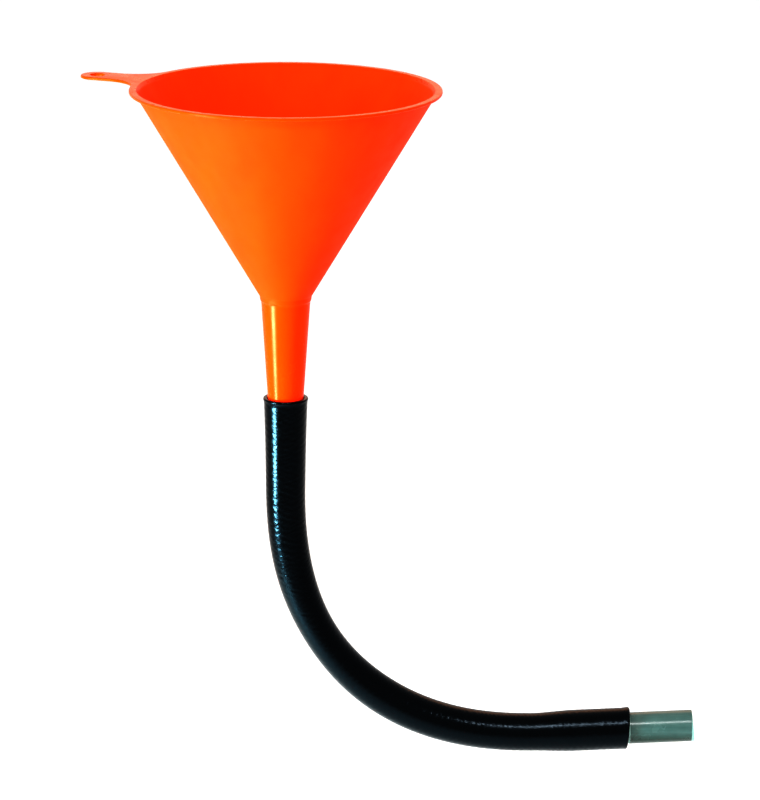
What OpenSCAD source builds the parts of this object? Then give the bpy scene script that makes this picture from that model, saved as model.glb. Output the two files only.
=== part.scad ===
// Hand funnel with a long flexible spout: a moulded bowl and stem, a length of rubber hose
// pushed over the stem, and a short rigid tube pushed into the hose's far end.
// Z is up. The origin is the centre of the mouth, in the plane of the rim's top face.
// The hose lies in the XZ plane and bends from straight down towards +X.

/* [Bowl] */
// Inside diameter of the mouth
mouth_d = 152.6; // [120:0.1:200]
// Width of the flat rim, outwards from the mouth
rim_w = 3.7; // [2.5:0.1:6]
// Thickness of the rim and of the hanging tab
rim_t = 1.5; // [1:0.1:2.5]
// Height of the cone, from the mouth down to the throat
cone_h = 108; // [80:1:140]
// Wall thickness of the cone and the stem
wall = 1.3; // [1:0.1:2]

/* [Stem] */
// Outside diameter of the stem at the throat
stem_top_d = 26.6; // [24:0.1:30]
// Outside diameter of the stem where it enters the hose
stem_low_d = 18.7; // [17:0.1:20]
// Outside diameter of the stem at its lower end, inside the hose
stem_end_d = 16.6; // [15:0.1:17]
// Length of the stem above the hose
stem_open_l = 54.5; // [40:0.5:80]
// Length of the stem inside the hose
stem_held_l = 45; // [30:1:48]

/* [Hanging tab] */
// Direction of the tab from the mouth's centre, in degrees from +X
tab_angle = 159; // [90:1:270]
// Distance from the rim's edge to the hole in the tab
tab_l = 25.8; // [20:0.1:50]
// Diameter of the hole in the tab
tab_hole_d = 7.8; // [5:0.1:10]
// Width of the tab
tab_w = 17.4; // [12:0.1:24]
// Radius of the hollow curves from the tab into the rim
tab_blend = 20; // [3:1:22]

/* [Hose] */
// Outside diameter of the free hose
hose_d = 20.5; // [19:0.1:24]
// Bore of the free hose
hose_bore_d = 16; // [14:0.1:17]
// Length of the hose
hose_l = 315; // [280:1:400]
// Length of the end that is stretched over the stem
top_cuff_l = 49; // [49:1:60]
// Outside diameter of that end at its lip
top_cuff_d = 23; // [22:0.1:25]
// Length of the end that is stretched over the outlet tube
end_cuff_l = 41; // [41:1:60]
// Outside diameter of that end
end_cuff_d = 21.8; // [21:0.1:24]
// Whole bend of the hose at rest, in degrees
hose_bend = 93; // [60:1:120]
// How far the bend gathers in the middle: 0 is even, 1 has straight ends
bend_gather = 0.6; // [0:0.05:1]
// Radius of the ball faces on which the hose's lengths turn
ball_r = 10.7; // [10.6:0.1:11.5]

/* [Outlet tube] */
// Outside diameter of the rigid outlet tube
outlet_d = 16.8; // [16.5:0.1:18]
// Outside diameter of its length inside the hose
outlet_held_d = 16.4; // [16.1:0.1:16.4]
// Bore of the outlet tube
outlet_bore_d = 14; // [12:0.1:14.5]
// Length of the outlet tube outside the hose
outlet_open_l = 34.5; // [20:0.5:80]
// Length of the outlet tube inside the hose
outlet_held_l = 32; // [20:1:32]
// Chamfer on the outlet tube's outer end
outlet_chamfer = 0.4; // [0.2:0.1:1]

/* [Hidden] */
$fn = 96;
LENGTHS = 10;           // flexible lengths between the two stretched ends
turn_fit = 0.08;        // running clearance of the hose round the stem, on the radius
ball_gap = 0.2;         // clearance between two ball faces
over = 1;               // how far a cut runs past a face
blend_bite = 0.3;       // the tab's curves cross the rim by this much

mouth_r = mouth_d / 2;
rim_r = mouth_r + rim_w;
tab_hole_x = rim_r + tab_l;
throat_r = stem_top_d / 2 - wall;
cone_a = atan((mouth_r - throat_r) / cone_h);
cone_wall_x = wall / cos(cone_a);
throat_z = -cone_h;
hose_top_z = throat_z - stem_open_l;
length_l = (hose_l - top_cuff_l - end_cuff_l) / LENGTHS;

// Share of the whole bend that lies before a fraction t of the flexible part.
function bend_share(t) = bend_gather * (3 * t * t - 2 * t * t * t) + (1 - bend_gather) * t;

// Slope of the hose at joint k, in degrees from +X towards +Z; -90 is straight down.
function slope(k) = hose_bend * bend_share(k / LENGTHS) - 90;

// Turn of flexible length k, which lies between joints k - 1 and k.
function turn(k) = slope(k) - slope(k - 1);

// Radius of the centreline of flexible length k.
function bend_r(k) = length_l / (turn(k) * PI / 180);

// Straight step from joint k - 1 to joint k, as [x, z].
function step(k) =
  2 * bend_r(k) * sin(turn(k) / 2) * [cos(slope(k - 1) + turn(k) / 2), sin(slope(k - 1) + turn(k) / 2)];

// Place of joint k on the centreline, as [x, z].
function joint(k) = k == 0 ? [0, hose_top_z - top_cuff_l] : joint(k - 1) + step(k);

// Puts its children at joint k with their Z along the hose, away from the bowl,
// and their X towards the outside of the bend.
module at_joint(k) {
  translate([joint(k)[0], 0, joint(k)[1]])
    rotate([0, 90 - slope(k), 0])
      children();
}

// Cone frustum on the Z axis, from radius r1 at z1 up to radius r2 at z2.
module frustum(z1, r1, z2, r2) {
  translate([0, 0, z1])
    cylinder(h = z2 - z1, r1 = r1, r2 = r2);
}

// Outline of the tab, along +X from the mouth's centre, with its hollow curves into the rim.
module tab_outline() {
  curve_y = tab_w / 2 + tab_blend;
  reach = rim_r + tab_blend - blend_bite;
  curve_x = sqrt(reach * reach - curve_y * curve_y);
  translate([curve_x, -tab_w / 2])
    square([tab_hole_x - curve_x, tab_w]);
  translate([tab_hole_x, 0])
    circle(tab_w / 2);
  for (side = [-1, 1])
    difference() {
      polygon([[0, 0], [curve_x, 0], [curve_x, side * curve_y]]);
      translate([curve_x, side * curve_y])
        circle(tab_blend);
    }
}

// Flat ring of the rim with the tab, one thickness throughout.
module rim_plate() {
  translate([0, 0, -rim_t])
    linear_extrude(rim_t)
      difference() {
        union() {
          circle(rim_r);
          rotate(tab_angle)
            tab_outline();
        }
        circle(mouth_r - cone_wall_x);
        rotate(tab_angle)
          translate([tab_hole_x, 0])
            circle(d = tab_hole_d);
      }
}

// Outside of the cone and the stem.
module bowl_outside() {
  held_z = hose_top_z - stem_held_l;
  frustum(throat_z, throat_r + cone_wall_x, 0, mouth_r + cone_wall_x);
  frustum(hose_top_z, stem_low_d / 2, throat_z, stem_top_d / 2);
  frustum(held_z, stem_end_d / 2, hose_top_z, stem_low_d / 2);
}

// The space that the liquid runs through.
module bowl_inside() {
  held_z = hose_top_z - stem_held_l;
  mouth_x = over * tan(cone_a);
  frustum(throat_z, throat_r, over, mouth_r + mouth_x);
  frustum(hose_top_z, stem_low_d / 2 - wall, throat_z, throat_r);
  frustum(held_z, stem_end_d / 2 - wall, hose_top_z, stem_low_d / 2 - wall);
  translate([0, 0, held_z - over])
    cylinder(h = 2 * over, r = stem_end_d / 2 - wall);
}

// Bowl, stem, rim and hanging tab, moulded in one piece.
module funnel_body() {
  color("#FF6A00")
    difference() {
      union() {
        rim_plate();
        bowl_outside();
      }
      bowl_inside();
    }
}

// Cuts a length of hose to a ball face round the joint it ends at, in the frame of at_joint.
module ball_end_cut() {
  difference() {
    cylinder(h = 2 * ball_r, r = 2 * ball_r);
    sphere(ball_r);
  }
}

// Upper end of the hose, stretched over the stem and free to turn on it.
module hose_top_cuff() {
  stem_r = stem_low_d / 2 + turn_fit;
  stem_end_r = stem_end_d / 2 + turn_fit;
  held_z = top_cuff_l - stem_held_l;
  color("#15171C")
    at_joint(0) {
      difference() {
        union() {
          frustum(-top_cuff_l, top_cuff_d / 2, 0, hose_d / 2);
          cylinder(h = ball_r, r = hose_d / 2);
        }
        frustum(-top_cuff_l, stem_r, -held_z, stem_end_r);
        frustum(-held_z, stem_end_r, 0, hose_bore_d / 2);
        cylinder(h = ball_r + over, r = hose_bore_d / 2);
        ball_end_cut();
      }
    }
}

// One flexible length of hose, bent to its share of the rest shape. It starts as a hollow
// ball face round joint k - 1 and ends as a full one round joint k.
module hose_length(k) {
  past_joint = (ball_r + over) / bend_r(k) * 180 / PI;
  color("#15171C")
    difference() {
      at_joint(k - 1)
        translate([-bend_r(k), 0, 0])
          rotate([90, 0, 0])
            rotate_extrude(angle = turn(k) + past_joint)
              translate([bend_r(k), 0])
                difference() {
                  circle(hose_d / 2);
                  circle(hose_bore_d / 2);
                }
      at_joint(k - 1)
        sphere(ball_r + ball_gap);
      at_joint(k)
        ball_end_cut();
    }
}

// Lower end of the hose, stretched over the outlet tube.
module hose_end_cuff() {
  swell_z = end_cuff_l - outlet_held_l;
  color("#15171C")
    at_joint(LENGTHS)
      difference() {
        union() {
          frustum(0, hose_d / 2, swell_z, end_cuff_d / 2);
          frustum(swell_z, end_cuff_d / 2, end_cuff_l, end_cuff_d / 2);
        }
        translate([0, 0, -over])
          cylinder(h = end_cuff_l, r = hose_bore_d / 2);
        translate([0, 0, swell_z])
          cylinder(h = outlet_held_l + over, d = outlet_held_d);
        sphere(ball_r + ball_gap);
      }
}

// Rigid tube that goes into the filler neck: a held length inside the hose, and a free length
// with its outer edge chamfered.
module outlet_tube() {
  start_z = end_cuff_l - outlet_held_l;
  end_z = end_cuff_l + outlet_open_l;
  chamfer_z = end_z - outlet_chamfer;
  outlet_r = outlet_d / 2;
  color("#5A7870")
    at_joint(LENGTHS)
      difference() {
        union() {
          frustum(start_z, outlet_held_d / 2, end_cuff_l, outlet_held_d / 2);
          frustum(end_cuff_l, outlet_r, chamfer_z, outlet_r);
          frustum(chamfer_z, outlet_r, end_z, outlet_r - outlet_chamfer);
        }
        translate([0, 0, start_z - over])
          cylinder(h = end_z - start_z + 2 * over, d = outlet_bore_d);
      }
}

funnel_body();
hose_top_cuff();
hose_length(1);  // hose_length_01
hose_length(2);  // hose_length_02
hose_length(3);  // hose_length_03
hose_length(4);  // hose_length_04
hose_length(5);  // hose_length_05
hose_length(6);  // hose_length_06
hose_length(7);  // hose_length_07
hose_length(8);  // hose_length_08
hose_length(9);  // hose_length_09
hose_length(10);  // hose_length_10
hose_end_cuff();
outlet_tube();
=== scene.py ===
import bpy
import numpy as np
from mathutils import Matrix
from mathutils.geometry import tessellate_polygon


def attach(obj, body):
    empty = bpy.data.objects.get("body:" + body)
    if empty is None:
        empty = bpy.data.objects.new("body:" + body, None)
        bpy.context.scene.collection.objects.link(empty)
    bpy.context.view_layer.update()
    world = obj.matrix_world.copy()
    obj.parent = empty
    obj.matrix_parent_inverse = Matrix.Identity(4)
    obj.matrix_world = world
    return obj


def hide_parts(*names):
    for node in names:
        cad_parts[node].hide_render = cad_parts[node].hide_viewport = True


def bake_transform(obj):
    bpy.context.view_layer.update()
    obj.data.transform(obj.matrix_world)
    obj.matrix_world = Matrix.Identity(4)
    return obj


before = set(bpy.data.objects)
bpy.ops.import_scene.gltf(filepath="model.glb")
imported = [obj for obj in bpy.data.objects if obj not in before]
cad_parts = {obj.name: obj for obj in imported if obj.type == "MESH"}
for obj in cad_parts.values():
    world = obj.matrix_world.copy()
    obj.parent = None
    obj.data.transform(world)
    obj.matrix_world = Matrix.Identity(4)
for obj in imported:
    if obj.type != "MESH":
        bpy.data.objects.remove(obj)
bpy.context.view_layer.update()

MM = 0.001  # sizes below are in millimetres and meshes in metres


# ---------------------------------------------------------------- camera
# A long lens two metres away, a little above the mouth and tilted down 15 degrees,
# so that the bowl shows its inside and the hose runs across the view.

CAMERA_PLACE = (0.0491, -1.96699, 0.36186)  # metres
CAMERA_TILT, CAMERA_ROLL = 14.96, 0.4  # degrees
LENS, SENSOR = 175.96, 36.0
camera = bpy.data.objects.new("camera", bpy.data.cameras.new("camera"))
bpy.context.collection.objects.link(camera)
bpy.context.scene.camera = camera
camera.data.sensor_width = SENSOR
camera.data.lens = LENS
camera.matrix_world = (
    Matrix.Translation(CAMERA_PLACE)
    @ Matrix.Rotation(np.radians(90 - CAMERA_TILT), 4, "X")
    @ Matrix.Rotation(np.radians(CAMERA_ROLL), 4, "Z")
)


# ---------------------------------------------------------------- light and floor
# A pale floor below the hose and an even white surround. A warm soft box behind and a
# narrow one above draw the edges; two at the front left, one high and one low and cold,
# draw the bright strips down the stem and the hose. The view's high contrast keeps the
# orange strong and the rubber black.

FLOOR_Z = -560.0  # below the outlet tube when the hose hangs straight
FLOOR_R, FLOOR_CORNERS = 9000.0, 64
SURROUND = 0.62  # strength that just keeps the background white


def colour(hex_code):
    """Linear RGBA of an sRGB hex colour: the sRGB curve undone on each channel."""
    s = np.array([int(hex_code[i : i + 2], 16) / 255 for i in (1, 3, 5)])
    return (*np.where(s <= 0.04045, s / 12.92, ((s + 0.055) / 1.055) ** 2.4), 1.0)


def add(tree, kind, inputs=None, **settings):
    """Adds a shader node with its settings. An input given as another node's output is linked."""
    made = tree.nodes.new(kind)
    for name, value in settings.items():
        setattr(made, name, value)
    for name, value in (inputs or {}).items():
        if isinstance(value, bpy.types.NodeSocket):
            tree.links.new(value, made.inputs[name])
        else:
            made.inputs[name].default_value = value
    return made


def new_material(name):
    """An empty material and its node tree."""
    made = bpy.data.materials.new(name)
    made.use_nodes = True
    made.node_tree.nodes.clear()
    return made, made.node_tree


def new_piece(name, points, faces, material, smooth=True):
    """A mesh object from points in millimetres and faces as rows of point numbers."""
    mesh = bpy.data.meshes.new(name)
    mesh.from_pydata((points * MM).tolist(), [], [list(f) for f in faces])
    mesh.update()
    mesh.materials.append(material)
    mesh.polygons.foreach_set("use_smooth", np.full(len(mesh.polygons), smooth))
    made = bpy.data.objects.new(name, mesh)
    bpy.context.collection.objects.link(made)
    return made


# Painted board: matt, with a mottle so slight that it only keeps the floor from looking
# like a cut-out.
board, tree = new_material("painted_board")
mottle = add(tree, "ShaderNodeTexNoise", {"Scale": 3.0, "Detail": 3.0})
tone = add(
    tree,
    "ShaderNodeMix",
    {"Factor": mottle.outputs["Fac"], "A": colour("#FAFAF9"), "B": colour("#FDFDFC")},
    data_type="RGBA",
)
face = add(tree, "ShaderNodeBsdfPrincipled", {"Base Color": tone.outputs[2], "Roughness": 0.7})
add(tree, "ShaderNodeOutputMaterial", {"Surface": face.outputs[0]})

corner = np.linspace(0, 2 * np.pi, FLOOR_CORNERS + 1)[:-1]
disc = np.stack([FLOOR_R * np.cos(corner), FLOOR_R * np.sin(corner), FLOOR_Z + 0 * corner], 1)
floor = new_piece("floor", disc, [range(FLOOR_CORNERS)], board, smooth=False)

world = bpy.data.worlds.new("white_surround")
bpy.context.scene.world = world
world.use_nodes = True
sky = world.node_tree.nodes["Background"]
sky.inputs["Color"].default_value = colour("#FFFFFF")
sky.inputs["Strength"].default_value = SURROUND
view = bpy.context.scene.view_settings
view.view_transform = "Standard"
view.look = "Very High Contrast"


def soft_box(name, place, aim, width, height, power, tint="#FFFFFF"):
    """A rectangular soft light at a place, turned to face the aim point. Metres and watts."""
    lamp = bpy.data.lights.new(name, "AREA")
    lamp.shape, lamp.size, lamp.size_y = "RECTANGLE", width, height
    lamp.energy, lamp.color = power, colour(tint)[:3]
    made = bpy.data.objects.new(name, lamp)
    bpy.context.collection.objects.link(made)
    made.location = place
    made.visible_camera = False
    way = Matrix.Translation(aim).translation - Matrix.Translation(place).translation
    made.rotation_euler = way.to_track_quat("-Z", "Y").to_euler()


soft_box(
    "key_box", place=(-0.5, -0.3, 0.02), aim=(0, 0, -0.06), width=0.05, height=0.3, power=3
)
soft_box(
    "low_box",
    place=(-0.574, -0.305, -0.355),
    aim=(0, 0, -0.22),
    width=0.17,
    height=0.14,
    power=13,
    tint="#A4E2F0",
)
soft_box(
    "top_box", place=(0, -0.62, 0.42), aim=(0.16, 0, -0.34), width=0.6, height=0.05, power=5
)
soft_box(
    "back_box",
    place=(0, 1.2, 0.5),
    aim=(0, 0, 0),
    width=1.4,
    height=0.7,
    power=3,
    tint="#FFA860",
)


# ---------------------------------------------------------------- funnel body
# One injection moulding in orange high-density polyethylene: the conical bowl with its
# flat rim, the hanging tab in the rim's plane, and the tapered stem that the hose is
# pushed over. Every edge has the small radius that a mould leaves.

MOUTH_R, RIM_R, RIM_T = 76.3, 80.0, 1.5
CONE_H, WALL = 108.0, 1.3
THROAT_R = 12.0  # inside
COLLAR_R, COLLAR_DROP = 13.2, 2.2  # outside of the ring under the cone, and its height
STEM_TOP_R, STEM_TOP_DROP = 12.75, 3.0  # outside of the stem, and how far down it starts
STEM_HOSE_Z = -162.5  # where the stem enters the hose
STEM_END_Z = -207.5
STEM_HELD = STEM_HOSE_Z - STEM_END_Z
STEM_HOSE_R, STEM_END_R = 9.35, 8.3  # outside
JOIN_TOP, JOIN_UNDER = 1.6, 2.4  # how far past the mouth the bowl meets the rim's faces
TAB_ANGLE, TAB_EYE_X, TAB_EYE_R = 159.0, 105.8, 3.9  # from +X; its eye's distance and radius
TAB_R, TAB_BLEND = 8.7, 20.0  # its round tip, and the hollow curves into the rim
EDGE, EYE_EDGE = 0.5, 0.3  # radii of the edges of the plate and of the eye in the tab
AROUND, EYE_AROUND = 320, 48  # points round the bowl and the rim, and round the eye


def rounded_line(corners, step, arc_step=np.radians(12)):
    """Points along straight stretches between corners (x, y, radius), each corner replaced by
    an arc that touches both stretches. No stretch between points is longer than step."""
    corners = np.array(corners, float)
    out = [corners[:1, :2]]
    for a, b, c in zip(corners[:-2], corners[1:-1], corners[2:]):
        u = (a - b)[:2] / np.linalg.norm((a - b)[:2])
        v = (c - b)[:2] / np.linalg.norm((c - b)[:2])
        half = np.arccos(np.clip(u @ v, -1, 1)) / 2
        reach, turn = b[2] / np.tan(half), np.pi - 2 * half
        middle = b[:2] + (u + v) / np.linalg.norm(u + v) * b[2] / np.sin(half)
        t = np.linspace(-turn / 2, turn / 2, max(2, int(np.ceil(turn / arc_step)) + 1))[:, None]
        inward = (b[:2] - middle) / np.linalg.norm(b[:2] - middle)
        along = v - u
        along /= np.linalg.norm(along)
        arc = middle + b[2] * (np.cos(t) * inward + np.sin(t) * along)
        out.append(arc if reach > 0 else b[None, :2])
    out.append(corners[-1:, :2])
    rows = np.concatenate(out)
    keep = np.r_[True, np.linalg.norm(np.diff(rows, axis=0), axis=1) > 1e-6]
    rows = rows[keep]
    parts = np.maximum(1, np.ceil(np.linalg.norm(np.diff(rows, axis=0), axis=1) / step)).astype(int)
    at = np.concatenate([i + np.arange(n) / n for i, n in enumerate(parts)] + [[len(rows) - 1]])
    number = np.arange(len(rows))
    return np.stack([np.interp(at, number, rows[:, 0]), np.interp(at, number, rows[:, 1])], 1)


def quads(rows, around, close=False):
    """Faces of a grid of rows, each an anticlockwise ring of points, numbered row by row. They
    face outwards where the rows run down the outside of a solid. With close, the last row
    joins the first again."""
    i = np.arange(rows if close else rows - 1)[:, None]
    j = np.arange(around)[None, :]
    low, high = i * around, ((i + 1) % rows) * around
    nxt = (j + 1) % around
    return np.stack([low + j, high + j, high + nxt, low + nxt], -1).reshape(-1, 4)


def lathe(line, around):
    """Rings round Z through the points (radius, height) of a line."""
    angle = np.linspace(0, 2 * np.pi, around + 1)[:-1]
    r, z = line[:, :1], line[:, 1:]
    return np.stack([r * np.cos(angle), r * np.sin(angle), z + 0 * angle], -1).reshape(-1, 3)


def edge_section(radius, thickness):
    """The plate's rounded edge as (distance in from the outline, height), from the top face
    round to the bottom face: two quarter circles joined by a straight stretch."""
    a = np.radians(np.linspace(0, 90, 6))
    top = np.stack([radius * (1 - np.sin(a)), -radius * (1 - np.cos(a))], 1)
    bottom = top[::-1] * [1, -1] - [0, thickness]
    return np.concatenate([top, bottom])


def plate_outline():
    """The rim's circle and the tab as one closed curve, anticlockwise: the circle up to the
    tab, a hollow arc, the tab's side, its round tip, and the same back on the other side."""
    curve_y = TAB_R + TAB_BLEND
    curve_x = np.sqrt((RIM_R + TAB_BLEND) ** 2 - curve_y**2)
    root = np.arctan2(curve_y, curve_x)
    rim = np.linspace(root, 2 * np.pi - root, AROUND)
    circle = RIM_R * np.stack([np.cos(rim), np.sin(rim)], 1)
    hollow = np.linspace(np.pi - root, np.pi / 2, 24)[1:]
    lower = [curve_x, -curve_y] + TAB_BLEND * np.stack([np.cos(hollow), np.sin(hollow)], 1)
    tip = np.radians(np.linspace(-90, 90, 40))
    end = [TAB_EYE_X, 0] + TAB_R * np.stack([np.cos(tip), np.sin(tip)], 1)
    upper = lower[::-1] * [1, -1]
    line = np.concatenate([circle, lower, end, upper])
    t = np.radians(TAB_ANGLE)
    return line @ np.array([[np.cos(t), np.sin(t)], [-np.sin(t), np.cos(t)]])


def edge_strip(outline, section, outwards=1):
    """The edge section carried along an outline, set square to it at each point."""
    ahead = np.roll(outline, -1, 0) - np.roll(outline, 1, 0)
    normal = np.stack([ahead[:, 1], -ahead[:, 0]], 1) * outwards
    normal /= np.linalg.norm(normal, axis=1)[:, None]
    flat = outline[None] - section[:, None, :1] * normal[None]
    height = np.broadcast_to(section[:, None, 1:], flat.shape[:2] + (1,))
    return np.concatenate([flat, height], -1).reshape(-1, 3)


cone_slope = (MOUTH_R - THROAT_R) / CONE_H
wall_x = WALL * np.sqrt(1 + cone_slope**2)
shell_line = rounded_line(
    [
        (MOUTH_R + JOIN_TOP, 0, 0),
        (MOUTH_R, 0, 0.6),  # the mouth's edge
        (THROAT_R, -CONE_H, 5),  # down the inside
        (STEM_HOSE_R - WALL, STEM_HOSE_Z, 20),
        (STEM_END_R - WALL, STEM_END_Z, 0.3),  # round the stem's end
        (STEM_END_R, STEM_END_Z, 0.5),
        (STEM_HOSE_R, STEM_HOSE_Z, 20),  # up the outside
        (STEM_TOP_R, -CONE_H - STEM_TOP_DROP, 0.5),
        (COLLAR_R, -CONE_H - COLLAR_DROP, 0.5),
        (THROAT_R + wall_x, -CONE_H, 1.8),
        (MOUTH_R + wall_x - RIM_T * cone_slope, -RIM_T, 0.7),  # where the cone meets the rim
        (MOUTH_R + JOIN_UNDER, -RIM_T, 0),
    ],
    step=2.5,
)
outline = plate_outline()
eye_angle = np.linspace(0, 2 * np.pi, EYE_AROUND + 1)[:-1]
tab_way = np.radians(TAB_ANGLE)
eye = TAB_EYE_R * np.stack([np.cos(eye_angle), np.sin(eye_angle)], 1)
eye += TAB_EYE_X * np.array([np.cos(tab_way), np.sin(tab_way)])
shell = lathe(shell_line, AROUND)
rim_edge = edge_strip(outline, edge_section(EDGE, RIM_T))
eye_edge = edge_strip(eye, edge_section(EYE_EDGE, RIM_T), outwards=-1)
# Only the rim's edge runs down the outside; the bowl and the eye run down the inside.
strips = [(rim_edge, len(outline), 1), (shell, AROUND, -1), (eye_edge, EYE_AROUND, -1)]
starts = np.cumsum([0] + [len(points) for points, _, _ in strips])
body_points = np.concatenate([points for points, _, _ in strips])
body_faces = []
for (points, around, turn), start in zip(strips, starts):
    body_faces += (quads(len(points) // around, around)[:, ::turn] + start).tolist()

# The flat faces of the rim and the tab are filled between the strips' first rings on top and
# between their last rings below, each triangle turned so that it faces outwards.
for faces_up in (True, False):
    rings = []
    for (points, around, _), start in zip(strips, starts):
        first = start if faces_up else start + len(points) - around
        rings.append(np.arange(first, first + around))
    numbers = np.concatenate(rings)
    for flat in tessellate_polygon([[tuple(p) for p in body_points[ring]] for ring in rings]):
        a, b, c = numbers[list(flat)]
        (ux, uy), (vx, vy) = (body_points[[b, c]] - body_points[a])[:, :2]
        turned = (ux * vy > uy * vx) != faces_up
        body_faces.append([int(n) for n in ((a, c, b) if turned else (a, b, c))])

# Injection-moulded HDPE: a deep, even orange, satin on the bowl where the mould was
# blasted and glossy on the rim, the tab and the stem where it was polished. Flow marks
# run down the wall, and handling has left worn patches and specks of dust. The gloss is
# set below polyethylene's own, or the white surround would wash the orange out.
hdpe, tree = new_material("moulded_orange_hdpe")
place = add(tree, "ShaderNodeTexCoord").outputs["Object"]
stretch = add(tree, "ShaderNodeMapping", {"Vector": place, "Scale": (1.0, 1.0, 0.12)})
flow = add(
    tree,
    "ShaderNodeTexNoise",
    {"Vector": stretch.outputs[0], "Scale": 1 / (14 * MM), "Detail": 4.0, "Roughness": 0.55},
)
orange = add(
    tree,
    "ShaderNodeMix",
    {"Factor": flow.outputs["Fac"], "A": colour("#FF3200"), "B": colour("#FF3C00")},
    data_type="RGBA",
)
specks = add(
    tree, "ShaderNodeTexNoise", {"Vector": place, "Scale": 1 / (1.1 * MM), "Detail": 1.0}
)
speck_share = add(
    tree,
    "ShaderNodeMapRange",
    {"Value": specks.outputs["Fac"], "From Min": 0.73, "From Max": 0.79, "To Max": 0.4},
)
speckled = add(
    tree,
    "ShaderNodeMix",
    {"Factor": speck_share.outputs[0], "A": orange.outputs[2], "B": colour("#A33A0A")},
    data_type="RGBA",
)
handling = add(
    tree, "ShaderNodeTexNoise", {"Vector": place, "Scale": 1 / (9 * MM), "Detail": 6.0}
)
gloss = add(
    tree,
    "ShaderNodeMapRange",
    {
        "Value": handling.outputs["Fac"],
        "From Min": 0.3,
        "From Max": 0.7,
        "To Min": 0.2,
        "To Max": 0.3,
    },
)
height = add(tree, "ShaderNodeSeparateXYZ", {"Vector": place}).outputs["Z"]
bowl_matt = add(
    tree,
    "ShaderNodeMapRange",
    {
        "Value": height,
        "From Min": (-CONE_H - 4) * MM,
        "From Max": (-CONE_H + 2) * MM,
        "To Max": 0.34,
    },
)
rim_gloss = add(
    tree,
    "ShaderNodeMapRange",
    {"Value": height, "From Min": (-RIM_T - 1) * MM, "From Max": -RIM_T * MM, "To Max": 0.3},
)
matt = add(
    tree, "ShaderNodeMath", {0: bowl_matt.outputs[0], 1: rim_gloss.outputs[0]}, operation="SUBTRACT"
)
roughness = add(
    tree, "ShaderNodeMath", {0: gloss.outputs[0], 1: matt.outputs[0]}, operation="ADD"
)
skin = add(tree, "ShaderNodeTexNoise", {"Vector": place, "Scale": 1 / (2.4 * MM), "Detail": 3.0})
relief = add(
    tree, "ShaderNodeBump", {"Height": skin.outputs["Fac"], "Strength": 0.12, "Distance": 0.15 * MM}
)
face = add(
    tree,
    "ShaderNodeBsdfPrincipled",
    {
        "Base Color": speckled.outputs[2],
        "Roughness": roughness.outputs[0],
        "IOR": 1.36,
        "Specular IOR Level": 0.19,
        "Specular Tint": colour("#FFC070"),
        "Normal": relief.outputs[0],
    },
)
add(tree, "ShaderNodeOutputMaterial", {"Surface": face.outputs[0]})

funnel = new_piece("funnel_moulding", body_points, body_faces, hdpe)
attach(funnel, "funnel")
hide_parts("funnel_body")


# ---------------------------------------------------------------- hose
# One length of black rubber hose, built up round a mandrel and cured in a tight cloth
# wrap, whose creases are printed all over its skin. Its upper end is stretched over the
# stem and its lower end over the outlet tube, and it keeps the bend it was stored in.
# It is skinned in eleven pieces, each round one joint's place along the hose and meeting
# the next one in the middle of a length.

HOSE_L, TOP_CUFF, END_CUFF, LENGTHS = 315.0, 49.0, 41.0, 10
LENGTH = (HOSE_L - TOP_CUFF - END_CUFF) / LENGTHS
BEND, GATHER = 93.0, 0.6  # degrees in all, and how far the bend gathers in the middle
END_LEAN, LEAN_RUN = 1.2, 14.0  # the lower end was cut this much longer inside the bend
HOSE_R, BORE_R, BORE_ROUND = 10.05, 8.0, 60.0  # free hose, and where its bore stops being round
STEM_SWELL, STEM_RUN, STEM_FIT = 1.4, 32.0, 0.06  # stretch at the top lip, reach, looseness
TUBE_HELD, TUBE_SNUG_R = 32.0, 8.25  # tube inside the hose, and the bore round it
TUBE_SWELL, SWELL_S, SWELL_RUN = 0.95, 263.0, 24.0  # stretch, where it starts, its reach
TIGHT_S, TIGHT_RUN = 134.0, 36.0  # where the bend is tightest, and how far that reaches
PINCH, BULGE = 1.0, 0.6  # how far the bend flattens the hose there, and widens it
WALK_STEP = 0.05


def hose_slope(s):
    """Slope of the hose s along it, in radians from +X: straight down on the stem, then
    turning by a blend of an even bend and one that eases in and out."""
    t = np.clip((s - TOP_CUFF) / (LENGTH * LENGTHS), 0, 1)
    return np.radians(BEND * (GATHER * (3 * t**2 - 2 * t**3) + (1 - GATHER) * t) - 90)


# The centreline is walked in short straight steps, to just past the hose's end.
walk = np.linspace(0, HOSE_L + 2, round((HOSE_L + 2) / WALK_STEP) + 1)
slopes = hose_slope((walk[1:] + walk[:-1]) / 2)
walk_x = np.concatenate([[0], np.cumsum(np.cos(slopes) * np.diff(walk))])
walk_z = STEM_HOSE_Z + np.concatenate([[0], np.cumsum(np.sin(slopes) * np.diff(walk))])


def ease(t):
    """Smooth step from 0 to 1."""
    t = np.clip(t, 0, 1)
    return t * t * (3 - 2 * t)


def hose_radius(s):
    """Half width of the hose in the plane of its bend and across it: the free size, a swell
    over the stem that dies away, another over the outlet tube, a small lip at both cut
    ends, and a flattening where the bend is tightest."""
    stretched = HOSE_R + STEM_SWELL * np.exp(-s / STEM_RUN)
    free = stretched + TUBE_SWELL * ease((s - SWELL_S) / SWELL_RUN)
    lip = 0.45 * np.exp(-((s / 1.6) ** 2)) + 0.3 * np.exp(-(((HOSE_L - s) / 1.8) ** 2))
    flat = np.exp(-(((s - TIGHT_S) / TIGHT_RUN) ** 2))
    return free + lip - PINCH * flat, free + lip + BULGE * flat


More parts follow.
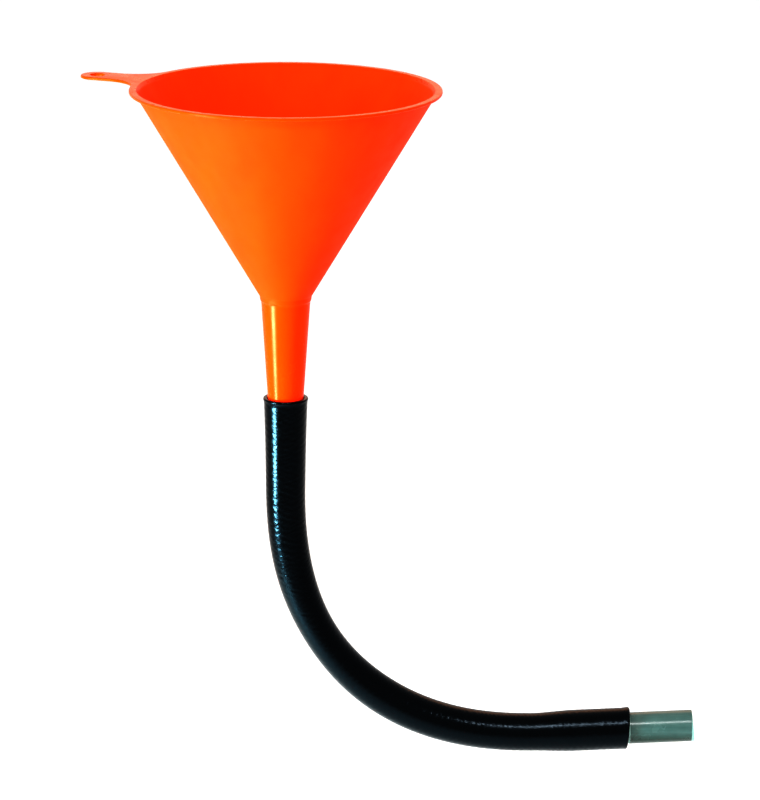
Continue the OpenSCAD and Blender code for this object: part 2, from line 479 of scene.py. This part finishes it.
def hose_bore(s):
    """Half width of the bore: snug on the tapered stem, free, then snug on the outlet tube."""
    on_stem = STEM_HOSE_R + (STEM_END_R - STEM_HOSE_R) * s / STEM_HELD + STEM_FIT
    below = np.where(s > HOSE_L - TUBE_HELD, TUBE_SNUG_R, BORE_R)
    return np.where(s < STEM_HELD, on_stem, below)


crease = np.random.default_rng(11)
CREASES, CREASE_H = 26, 0.027
crease_pitch = crease.uniform(1.8, 5.0, CREASES)  # millimetres along the hose
crease_turns = crease.integers(-13, 14, CREASES)  # whole turns round it, so that it closes
crease_phase = crease.uniform(0, 2 * np.pi, CREASES)


def hose_relief(s, phi):
    """Height of the cloth's creases: many waves crossing at different pitches and slants,
    pressed flat on top, so that narrow valleys run between flat pads."""
    wave = 2 * np.pi * s[..., None] / crease_pitch + crease_turns * phi[..., None] + crease_phase
    mix = np.cos(wave).sum(-1) / np.sqrt(CREASES / 2)
    return CREASE_H * np.tanh(1.3 * mix)


def hose_point(s, phi, depth):
    """Point of the hose s along it and phi round it, phi 0 being the inside of the bend.
    Depth runs through the wall, from 0 on the skin to 1 in the bore. Past BORE_ROUND the
    bore flattens about half as much as the skin does."""
    s = s + ease((s - HOSE_L + LEAN_RUN) / LEAN_RUN) * END_LEAN * np.cos(phi)
    in_plane, across = hose_radius(s)
    skin = hose_relief(s, phi)
    bore = hose_bore(s)
    squeeze = np.where(s < BORE_ROUND, 1, np.sqrt(in_plane / across))
    a = (1 - depth) * (in_plane + skin) + depth * bore * squeeze
    b = (1 - depth) * (across + skin) + depth * bore
    slope = hose_slope(s)
    x, z = np.interp(s, walk, walk_x), np.interp(s, walk, walk_z)
    up = a * np.cos(phi)
    return np.stack([x - up * np.sin(slope), b * np.sin(phi), z + up * np.cos(slope)], -1)


LIP = 1.1  # how far the rounding of a cut end runs back along the hose
RING_STEP, BORE_STEP, HOSE_AROUND = 0.5, 3.0, 168


def lip_path(at, way, round_off=0.34):
    """(s, depth) round a cut end: out of the skin, over two rounded corners, into the bore."""
    a = np.radians(np.linspace(0, 90, 9))
    s = at + way * LIP * (1 - np.sin(a))
    depth = round_off * (1 - np.cos(a))
    return np.concatenate([np.stack([s, depth], 1), np.stack([s, 1 - depth], 1)[::-1]])


def hose_section(start, end):
    """The closed loop in (s, depth) that one piece of hose is: along the skin, through the
    wall or over the lip, back along the bore, and through the wall or over the lip."""
    skin_s = np.linspace(start, end, int(round((end - start) / RING_STEP)) + 1)
    if start == 0:
        skin_s = skin_s[skin_s > LIP]
    if end == HOSE_L:
        skin_s = skin_s[skin_s < HOSE_L - LIP]
    skin = np.stack([skin_s, 0 * skin_s], 1)
    bore_s = np.linspace(end, start, int((end - start) / BORE_STEP) + 2)
    bore = np.stack([bore_s, np.ones_like(bore_s)], 1)
    if start == 0:
        bore = bore[bore[:, 0] > LIP]
    if end == HOSE_L:
        bore = bore[bore[:, 0] < HOSE_L - LIP]
    loop = [skin]
    if end == HOSE_L:
        loop.append(lip_path(HOSE_L, -1))
    loop.append(bore)
    if start == 0:
        loop.append(lip_path(0, 1)[::-1])
    return np.concatenate(loop), len(skin)


# Black rubber cured in cloth: near black with a cold blue-green bloom in its gloss. The
# weave's own fine threads only break the highlight up. Both maps are in millimetres. The
# gloss is set below rubber's own, because the surround is white on every side.
rubber, tree = new_material("cloth_cured_black_rubber")
around_map = add(tree, "ShaderNodeUVMap", uv_map="round_the_hose")
along_map = add(tree, "ShaderNodeUVMap", uv_map="along_the_hose")
around_xy = add(tree, "ShaderNodeSeparateXYZ", {"Vector": around_map.outputs[0]})
along_xy = add(tree, "ShaderNodeSeparateXYZ", {"Vector": along_map.outputs[0]})
straight = add(
    tree,
    "ShaderNodeCombineXYZ",
    {"X": around_xy.outputs["X"], "Y": around_xy.outputs["Y"], "Z": along_xy.outputs["X"]},
).outputs[0]
bloom = add(tree, "ShaderNodeTexNoise", {"Vector": straight, "Scale": 1 / 12, "Detail": 5.0})
black = add(
    tree,
    "ShaderNodeMix",
    {"Factor": bloom.outputs["Fac"], "A": colour("#020202"), "B": colour("#040404")},
    data_type="RGBA",
)
threads = add(tree, "ShaderNodeTexNoise", {"Vector": straight, "Scale": 1 / 0.9, "Detail": 3.0})
polish = add(tree, "ShaderNodeTexNoise", {"Vector": straight, "Scale": 1 / 4, "Detail": 4.0})
gloss = add(
    tree,
    "ShaderNodeMapRange",
    {
        "Value": polish.outputs["Fac"],
        "From Min": 0.3,
        "From Max": 0.7,
        "To Min": 0.16,
        "To Max": 0.25,
    },
)
relief = add(
    tree,
    "ShaderNodeBump",
    {"Height": threads.outputs["Fac"], "Strength": 0.3, "Distance": 0.2 * MM},
)
face = add(
    tree,
    "ShaderNodeBsdfPrincipled",
    {
        "Base Color": black.outputs[2],
        "Roughness": gloss.outputs[0],
        "IOR": 1.2,
        "Specular IOR Level": 0.75,
        "Specular Tint": colour("#D4ECFF"),
        "Normal": relief.outputs[0],
    },
)
add(tree, "ShaderNodeOutputMaterial", {"Surface": face.outputs[0]})


def lay_map(mesh, name, first, second, rows, around):
    """A UV map from two grids of values, one per point, with no seam in its values."""
    layer = mesh.uv_layers.new(name=name)
    i, j = np.meshgrid(np.arange(rows), np.arange(around), indexing="ij")
    ni, nj = (i + 1) % rows, (j + 1) % around
    at = np.stack([i * around + j, ni * around + j, ni * around + nj, i * around + nj], -1).ravel()
    layer.data.foreach_set("uv", np.stack([first.ravel()[at], second.ravel()[at]], 1).ravel())


MAP_R = 10.0  # radius of the round map, so that its patterns keep their size on the skin
NUDGE, TWIST = 0.02, 0.002  # millimetres along and radians round, to feel the skin's slope


def hose_piece(name, start, end):
    """Skins the hose between two distances along it and gives the skin its true normals, so
    that neighbouring pieces shade as one."""
    loop, skin_rows = hose_section(start, end)
    phi = np.linspace(0, 2 * np.pi, HOSE_AROUND + 1)[:-1]
    s, round_it = np.meshgrid(loop[:, 0], phi, indexing="ij")
    depth = np.broadcast_to(loop[:, 1:], s.shape)
    points = hose_point(s, round_it, depth)
    made = new_piece(
        name, points.reshape(-1, 3), quads(len(loop), HOSE_AROUND, close=True), rubber
    )
    mesh = made.data
    lay_map(mesh, "round_the_hose", MAP_R * np.cos(round_it), MAP_R * np.sin(round_it), *s.shape)
    lay_map(mesh, "along_the_hose", s, depth, *s.shape)
    skin = 0 * s
    along = hose_point(s + NUDGE, round_it, skin) - hose_point(s - NUDGE, round_it, skin)
    across = hose_point(s, round_it + TWIST, skin) - hose_point(s, round_it - TWIST, skin)
    normal = np.cross(along, across)
    normal /= np.linalg.norm(normal, axis=-1)[..., None]
    normal[skin_rows:] = 0
    mesh.normals_split_custom_set_from_vertices(normal.reshape(-1, 3).tolist())
    return made


def hose_place(s):
    """Centre of the hose s along it, in metres."""
    return (np.interp(s, walk, walk_x) * MM, 0.0, np.interp(s, walk, walk_z) * MM)


hose_nodes = ["hose_top_cuff"] + [f"hose_length_{k:02d}" for k in range(1, LENGTHS + 1)]
for k in range(LENGTHS + 1):
    joint_s = TOP_CUFF + k * LENGTH
    start = 0 if k == 0 else joint_s - LENGTH / 2
    end = HOSE_L if k == LENGTHS else joint_s + LENGTH / 2
    piece = hose_piece(f"hose_skin_{k:02d}", start, end)
    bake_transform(piece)
    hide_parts(hose_nodes[k])
    if k == LENGTHS:
        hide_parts("hose_end_cuff")


# ---------------------------------------------------------------- outlet tube
# A short piece of extruded rigid PVC tube in grey-green, sawn to length and pushed into
# the hose. Its sawn end face is coloured paler and is not quite square.

TUBE_R, TUBE_HELD_R, TUBE_BORE = 8.4, 8.2, 7.0
TUBE_FREE, TUBE_AROUND = 34.5, 128
TUBE_STEP = 0.25  # length of the slope from the held size up to the free size
SAW_LEAN, SAW_RUN = 0.42, 6.0


def tube_point(s, phi, r):
    """Point of the tube s past the hose's end, phi round it and r from its axis. The sawn
    end leans back at the top by three degrees and wavers by the saw's teeth."""
    slope = hose_slope(np.array(HOSE_L))
    share = ease((s - TUBE_FREE + SAW_RUN) / SAW_RUN)
    waver = 0.05 * np.cos(3 * phi) + 0.03 * np.cos(11 * phi)
    s = s + share * (waver - SAW_LEAN * np.cos(phi - 0.2))
    end_x, end_z = np.interp(HOSE_L, walk, walk_x), np.interp(HOSE_L, walk, walk_z)
    x = end_x + s * np.cos(slope) - r * np.cos(phi) * np.sin(slope)
    z = end_z + s * np.sin(slope) + r * np.cos(phi) * np.cos(slope)
    return np.stack([x, r * np.sin(phi), z], -1)


tube_line = rounded_line(
    [
        (-10, TUBE_HELD_R, 0),
        (0, TUBE_HELD_R, 0.02),
        (TUBE_STEP, TUBE_R, 0.1),
        (TUBE_FREE, TUBE_R, 0.3),
        (TUBE_FREE, TUBE_BORE, 0.15),
        (-TUBE_HELD, TUBE_BORE, 0.3),
        (-TUBE_HELD, TUBE_HELD_R, 0.3),
        (-10.5, TUBE_HELD_R, 0),
    ],
    step=1.5,
)
phi = np.linspace(0, 2 * np.pi, TUBE_AROUND + 1)[:-1]
s, round_it = np.meshgrid(tube_line[:, 0], phi, indexing="ij")
r = np.broadcast_to(tube_line[:, 1:], s.shape)

# Extruded rigid PVC: dull grey-green, drawn out in faint lengthwise die lines, half
# glossy where the die polished it. Its underside is darkened with painted shade, a thin
# pale ring where it enters the hose is a painted highlight, and its sawn end face is
# coloured paler. Its gloss too is set a little below PVC's own.
pvc, tree = new_material("extruded_grey_pvc")
place = add(tree, "ShaderNodeTexCoord").outputs["Object"]
lines = add(
    tree,
    "ShaderNodeMapping",
    {"Vector": place, "Rotation": (0, np.radians(BEND - 90), 0), "Scale": (0.03, 1.0, 1.0)},
)
die = add(
    tree,
    "ShaderNodeTexNoise",
    {"Vector": lines.outputs[0], "Scale": 1 / (1.2 * MM), "Detail": 3.0},
)
cloud = add(tree, "ShaderNodeTexNoise", {"Vector": place, "Scale": 1 / (6 * MM), "Detail": 4.0})
mixed = add(
    tree, "ShaderNodeMath", {0: die.outputs["Fac"], 1: cloud.outputs["Fac"]}, operation="MULTIPLY"
)
grey = add(
    tree,
    "ShaderNodeMix",
    {"Factor": mixed.outputs[0], "A": colour("#344844"), "B": colour("#586D65")},
    data_type="RGBA",
)
where = add(tree, "ShaderNodeSeparateXYZ", {"Vector": place})
tube_x, _, tube_z = hose_place(HOSE_L)
# Painted shade: the tube darkens to deep green towards its underside.
painted_underside_shade = add(
    tree,
    "ShaderNodeMapRange",
    {
        "Value": where.outputs["Z"],
        "From Min": tube_z + 1 * MM,
        "From Max": tube_z - 4 * MM,
        "To Max": 0.85,
    },
)
tone_with_painted_shade = add(
    tree,
    "ShaderNodeMix",
    {"Factor": painted_underside_shade.outputs[0], "A": grey.outputs[2], "B": colour("#06200F")},
    data_type="RGBA",
)
# Painted highlight: a thin pale ring where the tube enters the hose.
painted_ring_highlight = add(
    tree,
    "ShaderNodeMapRange",
    {"Value": where.outputs["X"], "From Min": tube_x + 1.0 * MM, "From Max": tube_x + 0.6 * MM},
)
# The sawn end face is coloured paler over its last millimetre.
sawn = add(
    tree,
    "ShaderNodeMapRange",
    {
        "Value": where.outputs["X"],
        "From Min": tube_x + (TUBE_FREE - 1.1) * MM,
        "From Max": tube_x + (TUBE_FREE - 0.7) * MM,
    },
)
ring_highlight_and_pale_end_share = add(
    tree, "ShaderNodeMath", {0: painted_ring_highlight.outputs[0], 1: sawn.outputs[0]}, operation="MAXIMUM"
)
# Mixes in the painted highlight ring and the paler sawn end.
tone_with_ring_highlight_and_pale_end = add(
    tree,
    "ShaderNodeMix",
    {"Factor": ring_highlight_and_pale_end_share.outputs[0], "A": tone_with_painted_shade.outputs[2], "B": colour("#86A098")},
    data_type="RGBA",
)
gloss = add(
    tree, "ShaderNodeMapRange", {"Value": cloud.outputs["Fac"], "To Min": 0.16, "To Max": 0.34}
)
relief = add(
    tree, "ShaderNodeBump", {"Height": die.outputs["Fac"], "Strength": 0.25, "Distance": 0.1 * MM}
)
face = add(
    tree,
    "ShaderNodeBsdfPrincipled",
    {
        "Base Color": tone_with_ring_highlight_and_pale_end.outputs[2],
        "Roughness": gloss.outputs[0],
        "IOR": 1.42,
        "Specular IOR Level": 0.5,
        "Normal": relief.outputs[0],
    },
)
add(tree, "ShaderNodeOutputMaterial", {"Surface": face.outputs[0]})

tube_points = tube_point(s, round_it, r).reshape(-1, 3)
outlet = new_piece(
    "outlet_pipe", tube_points, quads(len(tube_line), TUBE_AROUND, close=True), pvc
)
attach(outlet, "hose_end")
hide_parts("outlet_tube")
